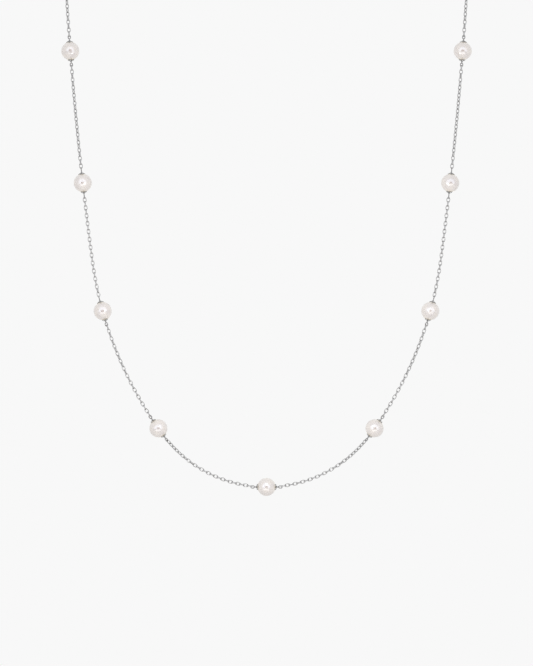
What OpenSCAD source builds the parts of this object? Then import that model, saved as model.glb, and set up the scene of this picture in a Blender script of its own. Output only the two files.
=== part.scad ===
// Station necklace: round pearls at even steps along a fine cable chain, each
// between two pierced caps on a pin with an eye at both ends.
// The front hangs upright as a long U that faces -Y. Past its top the loop leans
// back round the nape and closes at a spring ring clasp, whose middle is the origin.

/* [Front of the loop] */
// Radius of the round bottom of the U, mm
bottom_r = 31.6; // [30:0.1:34]
// Turn of the bottom arc on each side, degrees
bottom_turn = 53.5; // [51:0.1:56]
// Radius of the arc above it, mm
side_r = 93.2; // [88:0.1:98]
// Turn of that arc, degrees
side_turn = 28.9; // [27:0.1:30]
// Radius of the almost straight stretch above it, mm
upper_r = 915; // [800:5:1500]
// Length of that stretch, mm
upper_len = 71.4; // [66:0.1:80]

/* [Back of the loop] */
// Height above the bottom at which the loop starts to lean back, mm
lean_from = 121; // [118:1:130]
// Radius of the bend into the lean, mm
lean_r = 25; // [15:1:35]
// Lean of the back from upright, degrees
lean = 65; // [45:1:75]

/* [Pearls] */
// Diameter of a pearl, mm
pearl_d = 4.5; // [4:0.1:5]
// Diameter of the hole drilled through it, mm
bore_d = 0.35; // [0.35:0.05:0.6]

/* [Caps] */
// Height of a cap's crown above the middle of the pearl, mm
crown_z = 2.53; // [2.5:0.01:2.55]
// Radius of the cap's dome, mm
dome_r = 1.2; // [1.15:0.01:1.25]
// Thickness of the cap's metal, mm
cap_wall = 0.1; // [0.1:0.01:0.14]
// Radius of the collar in the cap's middle, mm
hub_r = 0.2; // [0.2:0.01:0.22]
// Height of the collar's top above the middle of the pearl, mm
hub_z = 2.72; // [2.66:0.01:2.72]
// Diameter of the hole through it for the pin, mm
cap_hole_d = 0.24; // [0.24:0.01:0.26]
// Number of petals
petals = 4; // [4:1:5]
// Radius of a petal, mm
petal_r = 0.36; // [0.34:0.01:0.37]
// Distance of a petal's middle from the pin, mm
petal_at = 0.54; // [0.52:0.01:0.54]
// Radius of the hole through a petal, mm
petal_hole_r = 0.25; // [0.2:0.01:0.25]
// Distance of that hole's middle from the pin, mm
petal_hole_at = 0.52; // [0.5:0.01:0.53]
// Clearance between a cap and its pearl, mm
seat_gap = 0.03; // [0.02:0.01:0.05]

/* [Pins] */
// Diameter of a pin's rod, mm
rod_d = 0.18; // [0.16:0.01:0.18]
// Diameter of the wire wrapped once round it below each eye, mm
wrap_wire = 0.12; // [0.1:0.01:0.12]
// Diameter of the wire of its eyes, mm
eye_wire = 0.24; // [0.22:0.01:0.25]
// Width of an eye between the middles of its wire, mm
eye_w = 0.56; // [0.54:0.01:0.58]
// Length of an eye's straight sides, mm
eye_side = 0.26; // [0.24:0.01:0.3]
// Distance of an eye's middle from the middle of the pearl, mm
eye_at = 3.42; // [3.42:0.01:3.45]

/* [Chain] */
// Width of the cable chain, mm
chain_w = 0.9; // [0.8:0.01:0.95]
// Clearance where one piece of the loop hangs in the next, mm
hang_gap = 0.1; // [0.1:0.01:0.15]

/* [Clasp] */
// Radius of the spring ring, to the middle of its tube, mm
spring_r = 2.1; // [2:0.05:2.3]
// Diameter of its tube, mm
spring_tube = 1; // [0.9:0.05:1.1]
// Radius of the eye soldered to it, mm
clasp_eye_r = 0.75; // [0.7:0.01:0.8]
// Diameter of that eye's wire, mm
clasp_eye_wire = 0.44; // [0.38:0.01:0.46]
// Radius of the ring in that eye, mm
jump_r = 1; // [0.95:0.05:1.2]
// Diameter of its wire, mm
jump_wire = 0.5; // [0.4:0.01:0.5]
// Radius of the ring that the spring ring closes on, mm
end_r = 1.25; // [1.25:0.05:1.5]
// Diameter of its wire, mm
end_wire = 0.56; // [0.45:0.01:0.56]

/* [Hidden] */
$fn = 48;

// Half of the loop from the bottom up, as arcs laid flat. Columns: radius, turn.
RADIUS = 0;
TURN = 1;
upper_turn = turn_of(upper_len, upper_r);
closing_turn = 180 - bottom_turn - side_turn - upper_turn;
FRONT = [
    [bottom_r, bottom_turn],
    [side_r, side_turn],
    [upper_r, upper_turn]
];
closing_r = walk(FRONT, total_length(FRONT))[0] / sin(closing_turn);
ROUTE = concat(FRONT, [[closing_r, closing_turn]]);
half_loop = total_length(ROUTE);
nape = lifted(walk(ROUTE, half_loop)[1]);

// Stations of half the loop, from the bottom pearl to the topmost. Columns:
// step along the chain from the station before, turn of the pin's lower eye and
// of its upper eye from facing the front, turn of the lower and the upper cap's
// first petal from the same, then the straight tube lengths that the chain above
// the station is divided into.
STEP = 0;
LOWER_EYE = 1;
UPPER_EYE = 2;
LOWER_CAP = 3;
UPPER_CAP = 4;
TUBES = 5;
STATIONS = [
    [0, 0, 0, 45, 45, 8],
    [31.5, 45, 0, 45, 45, 5],
    [32.1, 0, 90, 45, 10, 2],
    [31.9, 90, 90, 45, 10, 2],
    [32.6, 0, 0, 25, 10, 15]
];
per_side = len(STATIONS) - 1;
pearl_count = 2 * per_side + 1;

tube_sides = 8;
trigger_d = 0.6;
trigger_neck_d = 0.42;
trigger_reach = 0.45;
trigger_turn = 60;
collar_wall = 0.06;
collar_turn = 9;
collars_from = 25;
eye_end = eye_at + eye_side / 2 + (eye_w + eye_wire) / 2;
clasp_eye_at = spring_r + spring_tube / 2 + clasp_eye_r - clasp_eye_wire / 4;
jump_at = clasp_eye_at + clasp_eye_r - clasp_eye_wire / 2 - hang_gap - jump_wire / 2 + jump_r;
end_at = spring_r - spring_tube / 2 - hang_gap - end_wire / 2 + end_r;

// Turn of an arc, in degrees, from its length, and the lengths of arcs
function turn_of(length, radius) = length / radius * 180 / PI;
function length_of(arc) = arc[RADIUS] * arc[TURN] * PI / 180;
function total_length(arcs, i = 0) =
    i == len(arcs) ? 0 : length_of(arcs[i]) + total_length(arcs, i + 1);

// Flat place and heading [u, v, heading] a distance further along one arc
function along_arc(from, radius, dist) =
    let (heading = from[2] + turn_of(dist, radius))
    [
        from[0] + radius * (sin(heading) - sin(from[2])),
        from[1] + radius * (cos(from[2]) - cos(heading)),
        heading
    ];

// Flat place and heading a distance along a list of arcs
function walk(arcs, dist, i = 0, from = [0, 0, 0]) =
    i == len(arcs) - 1 || dist <= length_of(arcs[i])
        ? along_arc(from, arcs[i][RADIUS], dist)
        : walk(
            arcs,
            dist - length_of(arcs[i]),
            i + 1,
            along_arc(from, arcs[i][RADIUS], length_of(arcs[i]))
        );

// A flat height as [y, z, lean]: upright, then bent back, then leaning
function lifted(v) =
    v <= lean_from
        ? [0, v, 0]
        : let (
            a = min(lean, turn_of(v - lean_from, lean_r)),
            past = v - lean_from - length_of([lean_r, a])
        )
        [
            lean_r * (1 - cos(a)) + past * sin(a),
            lean_from + lean_r * sin(a) + past * cos(a),
            a
        ];

// Place, direction and facing of the loop a distance s along it from the bottom
// pearl, with s below 0 on the left half
function place(s) =
    let (flat = walk(ROUTE, abs(s)), up = lifted(flat[1]))
    [sign(s) * flat[0], up[0] - nape[0], up[1] - nape[1]];
function direction(s) =
    let (flat = walk(ROUTE, abs(s)), a = lifted(flat[1])[2], rise = sign(s) * sin(flat[2]))
    [cos(flat[2]), rise * sin(a), rise * cos(a)];
function facing(s) =
    let (a = lifted(walk(ROUTE, abs(s))[1])[2])
    [0, -cos(a), sin(a)];

// Distance of a half's station i along the loop, and a pearl's signed station
function station_s(i) = i == 0 ? 0 : station_s(i - 1) + STATIONS[i][STEP];
function side_of(k) = sign(k - 1 - per_side);
function row_of(k) = abs(k - 1 - per_side);
function pearl_s(k) = side_of(k) * station_s(row_of(k));

// Puts its children on the loop: +Z runs along it to the right half's end and +X
// is its face, which is the front of the necklace
module on_loop(s) {
    p = place(s);
    z = direction(s);
    x = facing(s);
    y = cross(z, x);
    multmatrix([
        [x[0], y[0], z[0], p[0]],
        [x[1], y[1], z[1], p[1]],
        [x[2], y[2], z[2], p[2]]
    ]) children();
}

// Ring of round wire about Z
module wire_ring(radius, wire) {
    rotate_extrude() translate([radius, 0]) circle(d = wire);
}

// Oval eye of round wire, long along Z and open along X
module oval_eye() {
    rotate([0, -90, 0]) {
        for (end = [-1, 1]) {
            translate([end * eye_side / 2, 0, 0])
                rotate([0, 0, -90 * end])
                    rotate_extrude(angle = 180) translate([eye_w / 2, 0]) circle(d = eye_wire);
            translate([-eye_side / 2, end * eye_w / 2, 0])
                rotate([0, 90, 0]) cylinder(d = eye_wire, h = eye_side);
        }
    }
}

module pearl(k) {
    color("seashell")
        on_loop(pearl_s(k)) difference() {
            sphere(d = pearl_d);
            cylinder(d = bore_d, h = 2 * pearl_d, center = true);
        }
}

// Round posts along Z, one for each petal
module petal_posts(radius, at) {
    for (p = [0:petals - 1])
        rotate([0, 0, p * 360 / petals])
            translate([at, 0, 0]) cylinder(r = radius, h = 2 * crown_z);
}

// Domed cap of pierced petals round a collar, crown up, on a pearl at the origin
module cap_shape() {
    dome_z = crown_z - dome_r;
    difference() {
        union() {
            intersection() {
                translate([0, 0, dome_z]) sphere(r = dome_r);
                petal_posts(petal_r, petal_at);
            }
            cylinder(r = hub_r, h = hub_z);
        }
        translate([0, 0, dome_z]) sphere(r = dome_r - cap_wall);
        sphere(d = pearl_d + 2 * seat_gap);
        cylinder(d = cap_hole_d, h = 2 * crown_z);
        petal_posts(petal_hole_r, petal_hole_at);
    }
}

// One of pearl k's caps, which is on the side of the loop that end names
module cap(k, end) {
    row = STATIONS[row_of(k)];
    toward = end == "left" ? -1 : 1;
    turn = toward * side_of(k) < 0 ? row[LOWER_CAP] : row[UPPER_CAP];
    color("silver")
        on_loop(pearl_s(k))
            rotate([0, 0, turn])
                rotate([end == "left" ? 180 : 0, 0, 0]) cap_shape();
}

module pin(k) {
    row = STATIONS[row_of(k)];
    side = side_of(k);
    rod = eye_at - (eye_side + eye_w) / 2;
    wrap_at = (hub_z + rod - eye_wire / 2) / 2;
    color("silver")
        on_loop(pearl_s(k)) {
            cylinder(d = rod_d, h = 2 * rod, center = true);
            for (end = [-1, 1]) {
                translate([0, 0, end * wrap_at]) wire_ring(rod_d / 2, wrap_wire);
                turn = end * side < 0 ? row[LOWER_EYE] : row[UPPER_EYE];
                translate([0, 0, end * eye_at]) rotate([0, 0, side * turn]) oval_eye();
            }
        }
}

// Chain as a plain tube between two distances along the loop
module chain_tube(from, to, pieces) {
    points = [
        for (i = [0:pieces])
            let (s = from + (to - from) * i / pieces, side_dir = cross(direction(s), facing(s)))
            for (j = [0:tube_sides - 1])
                let (a = 360 * (j + 0.5) / tube_sides)
                place(s) + chain_w / 2 * (cos(a) * facing(s) + sin(a) * side_dir)
    ];
    walls = [
        for (i = [0:pieces - 1], j = [0:tube_sides - 1])
            let (next = (j + 1) % tube_sides, low = i * tube_sides, high = low + tube_sides)
            [low + j, high + j, high + next, low + next]
    ];
    start_face = [for (j = [0:tube_sides - 1]) j];
    end_face = [for (j = [tube_sides - 1:-1:0]) pieces * tube_sides + j];
    color("silver") polyhedron(points, concat([start_face, end_face], walls));
}

// Chain between pearl k and the next one
module chain(k) {
    lower = min(row_of(k), row_of(k + 1));
    from = pearl_s(k) + eye_end + hang_gap;
    to = pearl_s(k + 1) - eye_end - hang_gap;
    chain_tube(from, to, STATIONS[lower][TUBES]);
}

// Chain from the topmost pearl of one side to the ring at the nape
module chain_back(side, ring_at, ring_r, ring_wire) {
    from = station_s(per_side) + eye_end + hang_gap;
    to = half_loop - ring_at - ring_r - ring_wire / 2 - hang_gap;
    if (side > 0)
        chain_tube(from, to, STATIONS[per_side][TUBES]);
    else
        chain_tube(-to, -from, STATIONS[per_side][TUBES]);
}

// Tube that closes on itself, with two collars, a trigger and a soldered eye
module clasp() {
    color("silver")
        on_loop(half_loop) {
            rotate([0, 90, 0]) {
                wire_ring(spring_r, spring_tube);
                for (from = [collars_from, 180 - collars_from - collar_turn])
                    rotate([0, 0, from])
                        rotate_extrude(angle = collar_turn)
                            translate([spring_r, 0]) circle(d = spring_tube + 2 * collar_wall);
                rotate([0, 0, trigger_turn])
                    translate([spring_r, 0, 0])
                        rotate([0, 90, 0]) {
                            cylinder(d = trigger_neck_d, h = spring_tube / 2 + trigger_reach);
                            translate([0, 0, spring_tube / 2 + trigger_reach]) sphere(d = trigger_d);
                        }
            }
            translate([0, 0, clasp_eye_at])
                rotate([0, 90, 0]) wire_ring(clasp_eye_r, clasp_eye_wire);
        }
}

// Ring across the loop, a distance from the nape on one side
module hanging_ring(s, radius, wire) {
    color("silver")
        on_loop(s) rotate([90, 0, 0]) wire_ring(radius, wire);
}

for (k = [1:pearl_count]) {
    pearl(k);
    cap(k, "left");
    cap(k, "right");
    pin(k);
}
for (k = [1:pearl_count - 1])
    chain(k);
chain_back(-1, jump_at, jump_r, jump_wire);  // chain_back_left
chain_back(1, end_at, end_r, end_wire);  // chain_back_right
clasp();
hanging_ring(jump_at - half_loop, jump_r, jump_wire);  // clasp_ring
hanging_ring(half_loop - end_at, end_r, end_wire);  // end_ring
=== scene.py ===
"""Station necklace: nine round pearls along a fine silver cable chain.

The frame holds the pins, the clasp and its rings at their real size and place.
This script dresses them: pearls of nacre, caps of wire petals, the chain's own
links, the finish of the metal, and a pale studio round them.
"""
import math

import bmesh
import bpy
from mathutils import Matrix, Vector, noise


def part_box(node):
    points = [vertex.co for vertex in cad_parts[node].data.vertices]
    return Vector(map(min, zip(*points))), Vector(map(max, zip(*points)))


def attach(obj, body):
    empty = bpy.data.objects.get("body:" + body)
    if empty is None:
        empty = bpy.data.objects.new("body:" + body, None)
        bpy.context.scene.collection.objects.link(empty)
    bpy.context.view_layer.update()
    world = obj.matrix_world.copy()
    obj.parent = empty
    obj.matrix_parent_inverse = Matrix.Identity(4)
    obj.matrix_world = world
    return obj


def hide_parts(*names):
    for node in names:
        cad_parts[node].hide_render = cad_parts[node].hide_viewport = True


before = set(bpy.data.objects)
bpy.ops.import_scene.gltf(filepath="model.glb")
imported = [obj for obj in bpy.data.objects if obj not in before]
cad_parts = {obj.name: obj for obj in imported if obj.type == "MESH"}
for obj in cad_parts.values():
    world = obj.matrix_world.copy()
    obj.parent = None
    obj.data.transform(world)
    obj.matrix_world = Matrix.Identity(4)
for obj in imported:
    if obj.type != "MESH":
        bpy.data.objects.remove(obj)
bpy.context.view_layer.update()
MM = 0.001

# The photograph, in its own pixels
PHOTO_W = 533
PHOTO_H = 666
PEARL_PX = 18.3
MIDDLE_COLUMN = 266.5
BOTTOM_PEARL_ROW = 486.96

# Pearls, and where they sit along half the loop from the bottom pearl, in mm
PEARL_D = 4.5
BORE_D = 0.35
STATION_S = [0, 31.5, 63.6, 95.5, 128.1]
PER_SIDE = len(STATION_S) - 1
PEARL_COUNT = 2 * PER_SIDE + 1

# A pixel of the photograph on the necklace, in metres
PIXEL = PEARL_D / PEARL_PX * MM

# Half of the loop from the bottom up, as arcs laid flat: radius in mm, and turn
UPPER_R = 915
UPPER_LEN = 71.4
FRONT_ARCS = [
    (31.6, math.radians(53.5)),
    (93.2, math.radians(28.9)),
    (UPPER_R, UPPER_LEN / UPPER_R),
]

# Lean of the back: the height where it starts, the radius of its bend, its angle
LEAN_FROM = 121
LEAN_R = 25
LEAN = math.radians(65)

# Eyes of the pins, in mm: place from the middle of the pearl, and half of the hole
EYE_AT = 3.42
EYE_REACH = 0.29

# Links of the cable chain, and the last one at the nape, in mm: length and width
# of the oval between the middles of its wire, and the wire's width in the oval's
# plane and across it, at the oval's sides and at its ends
LINK = {"length": 1.24, "width": 0.74, "side": (0.165, 0.27), "end": (0.24, 0.26)}
END_LINK = {"length": 1.3, "width": 1.3, "side": (0.24, 0.24), "end": (0.24, 0.24)}

# Longest step between two links of the back, and the slack where one piece hooks
# into the next, in mm
LONGEST_STEP = 0.985
PLAY = 0.01

# Points along a link and round its wire
LINK_STEPS = 28
LINK_SIDES = 8

# Stretches of chain from the bottom pearl up: how many links, and how far every
# second one is turned from facing the front, as (share of the stretch, degrees)
STRETCHES = [
    (25, [(0, 0), (0.5, 0), (0.85, 45), (1, 45)]),
    (25, [(0, 0), (0.3, 5), (0.6, 28), (0.85, 25), (1, 0)]),
    (25, [(0, 112), (0.25, 95), (1, 90)]),
    (26, [(0, 90), (0.2, 123), (0.8, 123), (1, 90)]),
]

# The same for the chain from a topmost pearl to the nape
BACK_TURN = [(0, 0), (0.06, 33), (0.2, 33), (0.4, 0), (1, 0)]

# Rings at the nape: radius to the middle of the wire, and the wire, in mm
NAPE_RINGS = {"clasp_ring": (1, 0.5), "end_ring": (1.25, 0.56)}

# Caps: a dome of wire petals round a collar, in mm, with heights from the middle
# of the pearl and reaches from the pin
CROWN_Z = 2.53
DOME_R = 1.2
CAP_WALL = 0.1
CAP_HOLE_D = 0.24
SEAT_GAP = 0.03
HUB_R = 0.2
HUB_Z = 2.72
HUB_FROM = 2.41
PETALS = 4
PETAL_R = 0.36
PETAL_AT = 0.54
PETAL_HOLE_R = 0.25
PETAL_HOLE_AT = 0.52

# Turn of the lower and of the upper cap's first petal from facing the front, in
# degrees, from the bottom pearl to the topmost
CAP_TURNS = [(45, 45), (45, 45), (45, 10), (45, 10), (25, 10)]

# Share of the silver's light that the pins and caps give back: a darker copy of the
# silver, painted shade for the shade on them
PAINTED_SHADE_SHARE = 0.75

# Studio, in metres, and the grey of its backdrop
CAMERA_M = 1.0
CLIP_START = 0.01
CLIP_END = 20
FLOOR_Z = -0.6
FLOOR_R = 2.9
FLOOR_SIDES = 96
PALE = 0.9387


# Route of the loop

def along_arc(start, radius, dist):
    """Flat place and heading a distance further along one arc."""
    u, v, heading = start
    ahead = heading + dist / radius
    return (
        u + radius * (math.sin(ahead) - math.sin(heading)),
        v + radius * (math.cos(heading) - math.cos(ahead)),
        ahead,
    )


def walk(arcs, dist):
    """Flat place and heading a distance along a list of arcs."""
    at = (0.0, 0.0, 0.0)
    for radius, turn in arcs[:-1]:
        if dist <= radius * turn:
            return along_arc(at, radius, dist)
        at = along_arc(at, radius, radius * turn)
        dist -= radius * turn
    return along_arc(at, arcs[-1][0], dist)


def lifted(v):
    """A flat height as (y, z, lean): upright, then bent back, then leaning."""
    if v <= LEAN_FROM:
        return 0.0, v, 0.0
    a = min(LEAN, (v - LEAN_FROM) / LEAN_R)
    past = v - LEAN_FROM - LEAN_R * a
    return (
        LEAN_R * (1 - math.cos(a)) + past * math.sin(a),
        LEAN_FROM + LEAN_R * math.sin(a) + past * math.cos(a),
        a,
    )


FRONT_LEN = sum(radius * turn for radius, turn in FRONT_ARCS)
CLOSING_TURN = math.pi - sum(turn for _, turn in FRONT_ARCS)
CLOSING_R = walk(FRONT_ARCS, FRONT_LEN)[0] / math.sin(CLOSING_TURN)
ROUTE = FRONT_ARCS + [(CLOSING_R, CLOSING_TURN)]
HALF_LOOP = FRONT_LEN + CLOSING_R * CLOSING_TURN
NAPE = lifted(walk(ROUTE, HALF_LOOP)[1])


def on_loop(s):
    """Frame at a distance s from the bottom pearl, below 0 on the left half.

    Z runs along the loop from the left to the right, and X faces out to the front.
    """
    side = math.copysign(1, s)
    u, v, heading = walk(ROUTE, abs(s))
    y, z, lean = lifted(v)
    rise = side * math.sin(heading)
    along = Vector((math.cos(heading), rise * math.sin(lean), rise * math.cos(lean)))
    face = Vector((0, -math.cos(lean), math.sin(lean)))
    across = along.cross(face)
    place = Vector((side * u, y - NAPE[0], z - NAPE[1]))
    return Matrix.LocRotScale(place, Matrix((face, across, along)).transposed(), None)


def side_of(k):
    """-1 for a pearl on the left half, 1 on the right, 0 at the bottom."""
    return (k > PER_SIDE + 1) - (k < PER_SIDE + 1)


def row_of(k):
    """Place of pearl k on its half, from 0 at the bottom up."""
    return abs(k - 1 - PER_SIDE)


def pearl_s(k):
    """Where pearl k sits on the loop."""
    return side_of(k) * STATION_S[row_of(k)]


# Mesh helpers

def new_piece(name, points, faces, material, nodes):
    """Smooth mesh piece from points in mm that stands for CAD nodes."""
    mesh = bpy.data.meshes.new(name)
    mesh.from_pydata([p * MM for p in points], [], faces)
    shape = bmesh.new()
    shape.from_mesh(mesh)
    bmesh.ops.recalc_face_normals(shape, faces=shape.faces)
    shape.to_mesh(mesh)
    shape.free()
    mesh.shade_smooth()
    mesh.materials.append(material)
    piece = bpy.data.objects.new(name, mesh)
    bpy.context.collection.objects.link(piece)
    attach(piece, "root")
    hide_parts(*nodes)
    return piece


def add_grid(points, faces, rows):
    """Adds rows of points joined into a skin that closes both ways round."""
    start = len(points)
    count = len(rows[0])
    for row in rows:
        points.extend(row)
    for i in range(len(rows)):
        low = start + i * count
        high = start + (i + 1) % len(rows) * count
        for j in range(count):
            after = (j + 1) % count
            faces.append((low + j, low + after, high + after, high + j))


# Pearls

# Points round a pearl, and steps from one lip of its bore to the other
PEARL_TURNS = 72
PEARL_ROWS = 54

# Rounded lip of the bore, as an angle on the pearl
LIP_ROWS = 4
LIP = math.radians(2)

# Dips in a pearl, as (share of its radius, waves over its radius): lumps all over
# and ripples round the bore. Each pearl has its own place in their noise.
LUMPS = (0.006, 1.2)
RIPPLES = (0.0012, 7)
PEARL_STEP = (3.1, 1.7, 0.9)


def pearl_profile():
    """Closed outline of half a drilled pearl, as (distance from the bore, height)."""
    radius = PEARL_D / 2
    first = math.asin(BORE_D / 2 / radius) + LIP
    span = math.pi - 2 * first
    outside = [first + span * i / PEARL_ROWS for i in range(PEARL_ROWS + 1)]
    outline = [(radius * math.sin(a), radius * math.cos(a)) for a in outside]
    depth = radius * (1 - math.cos(first)) + radius * LIP
    lip = []
    for i in range(LIP_ROWS):
        a = math.pi / 2 * (i + 1) / LIP_ROWS
        r = BORE_D / 2 + radius * LIP * (1 - math.sin(a))
        lip.append((r, radius - depth * (1 - math.cos(a))))
    top = lip[:-1] + [(BORE_D / 2, radius - depth)]
    bottom = [(r, -z) for r, z in reversed(top)]
    return outline + list(reversed(bottom)) + list(reversed(top))


def dip_at(way, shift):
    """Share of the radius by which a pearl dips in one direction from its middle."""
    lump, lump_waves = LUMPS
    ripple, ripple_waves = RIPPLES
    high = Vector((0, 0, ripple_waves * way.z))
    dip = lump * (0.5 + 0.5 * noise.noise(lump_waves * way + shift))
    return dip + ripple * (0.5 + 0.5 * noise.noise(high + shift))


def add_pearl(k, material):
    """One pearl, a little out of round, with each point's nearness to the bore."""
    at = on_loop(pearl_s(k))
    shift = Vector([k * step for step in PEARL_STEP])
    rows = []
    nearness = []
    for r, z in pearl_profile():
        row = []
        for j in range(PEARL_TURNS):
            a = 2 * math.pi * j / PEARL_TURNS
            spot = Vector((r * math.cos(a), r * math.sin(a), z))
            way = spot.normalized()
            row.append(at @ (spot * (1 - dip_at(way, shift))))
            nearness.append(abs(way.z))
        rows.append(row)
    points = []
    faces = []
    add_grid(points, faces, rows)
    piece = new_piece(f"nacre_{k}", points, faces, material, [f"pearl_{k}"])
    near_bore = piece.data.attributes.new("near_bore", "FLOAT", "POINT")
    near_bore.data.foreach_set("value", nearness)


# Caps

# Points along a petal and round its wire, and steps round an edge of the collar
CAP_STEPS = 24
CAP_SIDES = 8
COLLAR_EDGE = 4


def cap_layer(r):
    """Inner and outer height of a cap's wall at a distance from the pin."""
    dome_z = CROWN_Z - DOME_R
    inner = dome_z + math.sqrt(max(0, (DOME_R - CAP_WALL) ** 2 - r * r))
    seat = math.sqrt((PEARL_D / 2 + SEAT_GAP) ** 2 - r * r)
    outer = dome_z + math.sqrt(DOME_R ** 2 - r * r)
    return max(inner, seat), outer


def add_petal(points, faces, at):
    """Adds a ring of round wire that lies in the cap's wall, wider at its tip."""
    rows = []
    for i in range(CAP_STEPS):
        a = 2 * math.pi * i / CAP_STEPS
        row = []
        for j in range(CAP_SIDES):
            b = 2 * math.pi * j / CAP_SIDES
            outward = (1 + math.cos(b)) / 2
            middle = PETAL_HOLE_AT + outward * (PETAL_AT - PETAL_HOLE_AT)
            reach = PETAL_HOLE_R + outward * (PETAL_R - PETAL_HOLE_R)
            x = middle + reach * math.cos(a)
            y = reach * math.sin(a)
            inner, outer = cap_layer(math.hypot(x, y))
            z = inner + (outer - inner) * (1 + math.sin(b)) / 2
            row.append(at @ Vector((x, y, z)))
        rows.append(row)
    add_grid(points, faces, rows)


def add_collar(points, faces, at):
    """Adds the round-edged collar in the middle of a cap."""
    edge = (HUB_R - CAP_HOLE_D / 2) / 2
    outline = []
    for middle, first in ((HUB_Z - edge, 0), (HUB_FROM + edge, math.pi)):
        for j in range(COLLAR_EDGE + 1):
            b = first + math.pi * j / COLLAR_EDGE
            r = CAP_HOLE_D / 2 + edge + edge * math.cos(b)
            outline.append((r, middle + edge * math.sin(b)))
    rows = []
    for i in range(CAP_STEPS):
        a = 2 * math.pi * i / CAP_STEPS
        ring = [Vector((r * math.cos(a), r * math.sin(a), z)) for r, z in outline]
        rows.append([at @ spot for spot in ring])
    add_grid(points, faces, rows)


def add_cap(k, end, material):
    """One cap: wire petals and the collar that joins them round the pin."""
    toward = -1 if end == "left" else 1
    lower, upper = CAP_TURNS[row_of(k)]
    turn = lower if toward * side_of(k) < 0 else upper
    at = on_loop(pearl_s(k)) @ Matrix.Rotation(math.radians(turn), 4, "Z")
    if end == "left":
        at = at @ Matrix.Rotation(math.pi, 4, "X")
    points = []
    faces = []
    add_collar(points, faces, at)
    for p in range(PETALS):
        way = Matrix.Rotation(p * 2 * math.pi / PETALS, 4, "Z")
        add_petal(points, faces, at @ way)
    name = f"{k}_{end}"
    new_piece(f"petals_{name}", points, faces, material, [f"cap_{name}"])


# Chain

def link_reach(link):
    """Half of the length of the hole in a link."""
    return (link["length"] - link["end"][0]) / 2


def add_link(points, faces, at, link):
    """Adds one oval link, long along Z and open along X."""
    half_w = link["width"] / 2
    half_l = link["length"] / 2
    rows = []
    for i in range(LINK_STEPS):
        a = 2 * math.pi * i / LINK_STEPS
        middle = Vector((0, half_w * math.cos(a), half_l * math.sin(a)))
        out = Vector((0, half_l * math.cos(a), half_w * math.sin(a))).normalized()
        wide, deep = (
            side + (end - side) * math.sin(a) ** 2
            for side, end in zip(link["side"], link["end"])
        )
        row = []
        for j in range(LINK_SIDES):
            b = 2 * math.pi * j / LINK_SIDES
            rise = Vector((deep / 2 * math.sin(b), 0, 0))
            row.append(at @ (middle + wide / 2 * math.cos(b) * out + rise))
        rows.append(row)
    add_grid(points, faces, rows)


def turn_at(share, turns):
    """Turn at a share of the stretch, between the listed ones, in radians."""
    for (low, turn_low), (high, turn_high) in zip(turns, turns[1:]):
        if share <= high:
            change = (turn_high - turn_low) * (share - low) / (high - low)
            return math.radians(turn_low + change)
    return math.radians(turns[-1][1])


def add_run(points, faces, side, first_s, last_s, count, turns):
    """Adds links at even steps between two places, each a quarter turn on."""
    for i in range(count):
        turn = turn_at((i + 1) / (count + 1), turns) + math.pi / 2 * ((i + 1) % 2)
        s = first_s + (last_s - first_s) * i / (count - 1)
        at = on_loop(side * s) @ Matrix.Rotation(side * turn, 4, "Z")
        add_link(points, faces, at, LINK)


# Distance from the middle of a pearl to that of the link next to it
TO_LINK = EYE_AT + EYE_REACH + link_reach(LINK) - PLAY


def add_front_chain(k, material):
    """Links between pearl k and the next one."""
    side = 1 if k > PER_SIDE else -1
    low = min(row_of(k), row_of(k + 1))
    first_s = STATION_S[low] + TO_LINK
    last_s = STATION_S[low + 1] - TO_LINK
    points = []
    faces = []
    add_run(points, faces, side, first_s, last_s, *STRETCHES[low])
    name = f"{k}_{k + 1}"
    new_piece(f"links_{name}", points, faces, material, [f"chain_{name}"])


def add_back_chain(side, ring, material):
    """Links from a topmost pearl to its ring at the nape, the last one larger."""
    radius, wire = NAPE_RINGS[ring]
    low, high = (Vector(corner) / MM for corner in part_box(ring))
    ring_at = HALF_LOOP - CLOSING_R * math.asin(abs(low.x + high.x) / 2 / CLOSING_R)
    end_s = ring_at - radius + wire / 2 + PLAY - link_reach(END_LINK)
    last_s = end_s - link_reach(END_LINK) - link_reach(LINK) + PLAY
    first_s = STATION_S[-1] + TO_LINK
    count = 1 + math.ceil((last_s - first_s) / LONGEST_STEP)
    # An odd number, so that the last small link stands across the larger one
    count += 1 - count % 2
    points = []
    faces = []
    add_run(points, faces, side, first_s, last_s, count, BACK_TURN)
    add_link(points, faces, on_loop(side * end_s), END_LINK)
    name = "back_left" if side < 0 else "back_right"
    new_piece(f"links_{name}", points, faces, material, [f"chain_{name}"])


# Materials

# Noise, as (waves per metre, finer layers), and the values where most of it lies
CLOUDS = (700, 2)
LUSTRE = (900, 4)
NACRE_WAVES = (520, 1)
TARNISH = (1300, 4)
WEAR = (2200, 3)
MARKS = (7000, 2)
MOTTLE = (6, 4)
NOISE_LOW = 0.3
NOISE_HIGH = 0.7

# Bumps, as (height in metres, strength)
NACRE_BUMP = (0.0002, 1)
MARKS_BUMP = (0.000006, 0.3)

# Colours over noise, as (value, colour), and the least and the most roughness
OVERTONES = [
    (0.3, (0.56, 0.51, 0.475)),
    (0.45, (0.61, 0.56, 0.52)),
    (0.6, (0.64, 0.585, 0.525)),
    (0.75, (0.66, 0.59, 0.54)),
]
# Silver tones: the silver's own tone and faint tarnish, kept much darker than bare
# silver as painted shade for the dark that the links reflect
SILVER = [
    (0.3, (0.34, 0.335, 0.325)),
    (0.55, (0.41, 0.405, 0.395)),
    (0.75, (0.45, 0.445, 0.435)),
]
PAPER = [
    (0.3, (0.9, 0.885, 0.865)),
    (0.7, (0.92, 0.905, 0.885)),
]
NACRE_ROUGH = (0.22, 0.36)
SILVER_ROUGH = (0.14, 0.3)

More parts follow.
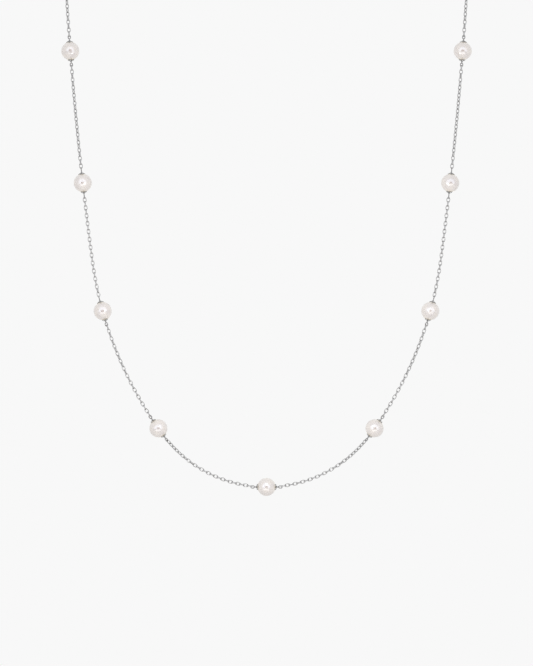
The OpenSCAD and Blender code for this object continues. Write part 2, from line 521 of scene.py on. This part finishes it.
# Painted reflection in cream by the bore, and the nearness where it starts and is full:
# 0 is half way between the bore's ends, and 1 is on the bore's line
CREAM_REFLECTION = (0.64, 0.55, 0.41)
CREAM_REFLECTION_FROM = 0.8
CREAM_REFLECTION_FULL = 0.95

BLACK = (0, 0, 0)
WHITE = (1, 1, 1)


def link_up(tree, source, output, target, socket):
    """Joins a node's output to another node's input, both by name."""
    tree.links.new(source.outputs[output], target.inputs[socket])


def add_noise(tree, coords, waves):
    """Noise in the part's own coordinates."""
    node = tree.nodes.new("ShaderNodeTexNoise")
    node.inputs["Scale"].default_value, node.inputs["Detail"].default_value = waves
    link_up(tree, coords, "Object", node, "Vector")
    return node


def add_ramp(tree, source, output, stops):
    """Colour ramp over a value, with stops of (place, colour)."""
    node = tree.nodes.new("ShaderNodeValToRGB")
    ramp = node.color_ramp
    while len(ramp.elements) < len(stops):
        ramp.elements.new(0.5)
    for element, (place, colour) in zip(ramp.elements, stops):
        element.position = place
        element.color = (*colour, 1)
    link_up(tree, source, output, node, "Fac")
    return node


def add_roughness(tree, shader, source, least, most):
    """Roughness between two values over a noise."""
    node = tree.nodes.new("ShaderNodeMapRange")
    node.inputs["From Min"].default_value = NOISE_LOW
    node.inputs["From Max"].default_value = NOISE_HIGH
    node.inputs["To Min"].default_value = least
    node.inputs["To Max"].default_value = most
    link_up(tree, source, "Fac", node, "Value")
    link_up(tree, node, "Result", shader, "Roughness")


def add_bump(tree, shader, sockets, source, height, strength):
    """Bump over a noise, for some of the shader's sockets."""
    node = tree.nodes.new("ShaderNodeBump")
    node.inputs["Distance"].default_value = height
    node.inputs["Strength"].default_value = strength
    link_up(tree, source, "Fac", node, "Height")
    for socket in sockets:
        link_up(tree, node, "Normal", shader, socket)


def new_material(name, sockets):
    """Material whose shader's own sockets are set to plain values."""
    material = bpy.data.materials.new(name)
    material.use_nodes = True
    tree = material.node_tree
    shader = tree.nodes["Principled BSDF"]
    for socket, value in sockets.items():
        shader.inputs[socket].default_value = value
    coords = tree.nodes.new("ShaderNodeTexCoord")
    return material, tree, shader, coords


def nacre_material():
    """Warm off-white nacre: clouded overtones, a wavy lustre, painted reflection in
    cream by the bore.
    """
    material, tree, shader, coords = new_material("nacre", {
        "IOR": 1.5,
        "Coat Weight": 1.0,
        "Coat Roughness": 0.08,
        "Coat IOR": 2.5,
    })
    overtones = add_ramp(tree, add_noise(tree, coords, CLOUDS), "Fac", OVERTONES)
    # The cream mixed in by the bore is a painted reflection
    near_bore = tree.nodes.new("ShaderNodeAttribute")
    near_bore.attribute_name = "near_bore"
    cream_reflection = add_ramp(tree, near_bore, "Fac", [(CREAM_REFLECTION_FROM, BLACK), (CREAM_REFLECTION_FULL, WHITE)])
    tint = tree.nodes.new("ShaderNodeMix")
    tint.data_type = "RGBA"
    tint.inputs["B"].default_value = (*CREAM_REFLECTION, 1)
    link_up(tree, cream_reflection, "Color", tint, "Factor")
    link_up(tree, overtones, "Color", tint, "A")
    link_up(tree, tint, "Result", shader, "Base Color")
    add_roughness(tree, shader, add_noise(tree, coords, LUSTRE), *NACRE_ROUGH)
    waves = add_noise(tree, coords, NACRE_WAVES)
    add_bump(tree, shader, ("Normal", "Coat Normal"), waves, *NACRE_BUMP)
    return material


def silver_material(name, shade):
    """Polished silver with faint tarnish and fine polishing marks, darkened by a share
    as painted shade.
    """
    material, tree, shader, coords = new_material(name, {"Metallic": 1.0})
    shaded = [(place, [part * shade for part in colour]) for place, colour in SILVER]
    tarnish = add_ramp(tree, add_noise(tree, coords, TARNISH), "Fac", shaded)
    link_up(tree, tarnish, "Color", shader, "Base Color")
    add_roughness(tree, shader, add_noise(tree, coords, WEAR), *SILVER_ROUGH)
    add_bump(tree, shader, ("Normal",), add_noise(tree, coords, MARKS), *MARKS_BUMP)
    return material


def floor_material():
    """Pale matt paper with a faint mottle."""
    material, tree, shader, coords = new_material("floor_paper", {"Roughness": 0.9})
    mottle = add_ramp(tree, add_noise(tree, coords, MOTTLE), "Fac", PAPER)
    link_up(tree, mottle, "Color", shader, "Base Color")
    return material


# Studio

# Light of the room, as (share of the way from front to back, colour): dark where
# the camera is, and a bright ring round that
ROOM_GLOW = [
    (0.02, (0.15, 0.02, 0.0)),
    (0.043, (1.65, 1.74, 1.93)),
    (0.14, (1.65, 1.74, 1.93)),
    (0.26, (PALE, PALE, PALE)),
]

# Softboxes in front: name, elevation in degrees, distance, width and height in
# metres, radiance
SOFTBOXES = [
    ("softbox_near", 12, 0.072, 0.032, 0.032, 3.6),
    ("softbox_low", -32, 0.8, 1.0, 0.36, 0.9),
]


def add_floor():
    """Round floor below the part."""
    mesh = bpy.data.meshes.new("floor")
    shape = bmesh.new()
    bmesh.ops.create_circle(shape, cap_ends=True, radius=FLOOR_R, segments=FLOOR_SIDES)
    shape.to_mesh(mesh)
    shape.free()
    mesh.materials.append(floor_material())
    floor = bpy.data.objects.new("floor", mesh)
    floor.location = (0, 0, FLOOR_Z)
    bpy.context.collection.objects.link(floor)


def add_room():
    """Room that lights the part: bright round a dark camera, and pale elsewhere."""
    world = bpy.data.worlds.new("studio")
    world.use_nodes = True
    tree = world.node_tree
    tree.nodes.clear()
    coords = tree.nodes.new("ShaderNodeTexCoord")
    parts = tree.nodes.new("ShaderNodeSeparateXYZ")
    link_up(tree, coords, "Generated", parts, "Vector")
    depth = tree.nodes.new("ShaderNodeMapRange")
    depth.inputs["From Min"].default_value = -1
    link_up(tree, parts, "Y", depth, "Value")
    glow = add_ramp(tree, depth, "Result", ROOM_GLOW)
    room = tree.nodes.new("ShaderNodeBackground")
    link_up(tree, glow, "Color", room, "Color")
    seen = tree.nodes.new("ShaderNodeBackground")
    seen.inputs["Color"].default_value = (PALE, PALE, PALE, 1)
    path = tree.nodes.new("ShaderNodeLightPath")
    mix = tree.nodes.new("ShaderNodeMixShader")
    out = tree.nodes.new("ShaderNodeOutputWorld")
    link_up(tree, path, "Is Camera Ray", mix, "Fac")
    tree.links.new(room.outputs[0], mix.inputs[1])
    tree.links.new(seen.outputs[0], mix.inputs[2])
    link_up(tree, mix, "Shader", out, "Surface")
    bpy.context.scene.world = world


def add_softbox(name, target, elevation, distance, width, height, radiance):
    """Flat light straight in front of the part, raised by an angle."""
    e = math.radians(elevation)
    way = Vector((0, -math.cos(e), math.sin(e)))
    light = bpy.data.lights.new(name, "AREA")
    light.shape = "RECTANGLE"
    light.size = width
    light.size_y = height
    light.energy = radiance * math.pi * width * height
    lamp = bpy.data.objects.new(name, light)
    lamp.location = target + distance * way
    lamp.rotation_euler = (-way).to_track_quat("-Z", "Y").to_euler()
    lamp.visible_camera = False
    bpy.context.collection.objects.link(lamp)


def add_camera(target):
    """Level camera in front, framed as the photograph is."""
    camera = bpy.data.cameras.new("camera")
    camera.lens = camera.sensor_width * CAMERA_M / (PHOTO_H * PIXEL)
    camera.clip_start = CLIP_START
    camera.clip_end = CLIP_END
    eye = bpy.data.objects.new("camera", camera)
    eye.location = target + Vector((0, -CAMERA_M, 0))
    eye.rotation_euler = (math.pi / 2, 0, 0)
    bpy.context.collection.objects.link(eye)
    bpy.context.scene.camera = eye


def view_middle():
    """Point on the front of the necklace at the photograph's middle."""
    low, high = (Vector(corner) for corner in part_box(f"pearl_{PER_SIDE + 1}"))
    bottom = (low + high) / 2
    right = (PHOTO_W / 2 - MIDDLE_COLUMN) * PIXEL
    up = (BOTTOM_PEARL_ROW - PHOTO_H / 2) * PIXEL
    return bottom + Vector((right, 0, up))


middle = view_middle()
add_camera(middle)
add_room()
add_floor()
for name, *box in SOFTBOXES:
    add_softbox(name, middle, *box)
bpy.context.scene.view_settings.view_transform = "Standard"

nacre = nacre_material()
silver = silver_material("silver", 1)
# The pins and caps get a darker copy of the silver as painted shade
painted_shade_silver = silver_material("painted_shade_silver", PAINTED_SHADE_SHARE)
for k in range(1, PEARL_COUNT + 1):
    add_pearl(k, nacre)
    add_cap(k, "left", painted_shade_silver)
    add_cap(k, "right", painted_shade_silver)
    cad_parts[f"pin_{k}"].material_slots[0].material = painted_shade_silver
for k in range(1, PEARL_COUNT):
    add_front_chain(k, silver)
add_back_chain(-1, "clasp_ring", silver)
add_back_chain(1, "end_ring", silver)
for name in ("clasp", "clasp_ring", "end_ring"):
    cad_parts[name].material_slots[0].material = silver
